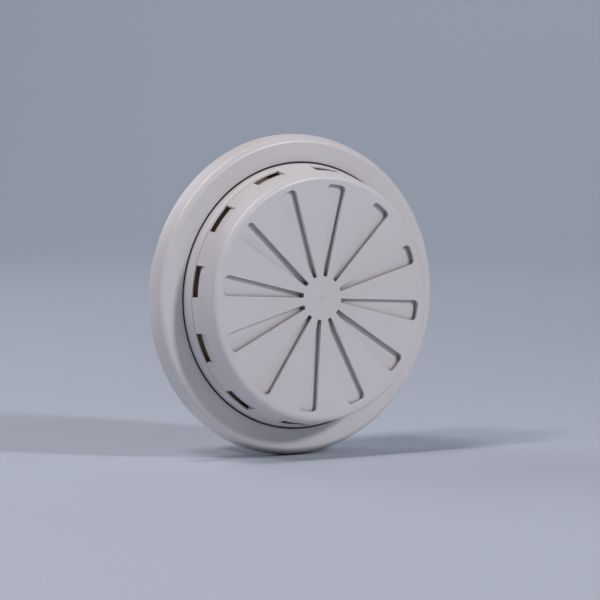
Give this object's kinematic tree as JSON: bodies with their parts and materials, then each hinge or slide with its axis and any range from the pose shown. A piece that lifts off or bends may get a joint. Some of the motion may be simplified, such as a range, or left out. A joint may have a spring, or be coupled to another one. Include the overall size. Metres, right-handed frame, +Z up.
{
  "type": "adjustable vent grille",
  "caption": "Round wall vent grille whose slotted front cap turns to open or shut, with a wide rim and a duct spigot behind.",
  "frame": {"origin": "centre of the duct spigot in the plane of the wall face, where the rim's foot meets the wall", "axes": "-Y out of the wall towards the front face, +Y into the duct, +Z up, +X to the right as seen from the front"},
  "size_m": [0.155, 0.0625, 0.155],
  "materials": {
    "collar_plastic": "satin",
    "foam": "matte",
    "body_plastic": "satin",
    "cap_plastic": "satin",
    "screw_steel": "zinc plated",
    "washer_steel": "zinc plated",
    "spring_steel": "satin"
  },
  "bodies": {
    "housing": {"wall_collar": "collar_plastic", "wall_gasket": "foam", "valve_body": "body_plastic", "wave_washer": "spring_steel"},
    "cap": {"front_cap": "cap_plastic", "pivot_screw": "screw_steel", "flat_washer": "washer_steel"}
  },
  "joints": [
    {"name": "cap_turn", "type": "hinge", "parent": "housing", "child": "cap", "pos_m": [0, 0, 0], "axis": [0, -1, 0], "range_deg": [0, 15]}
  ]
}
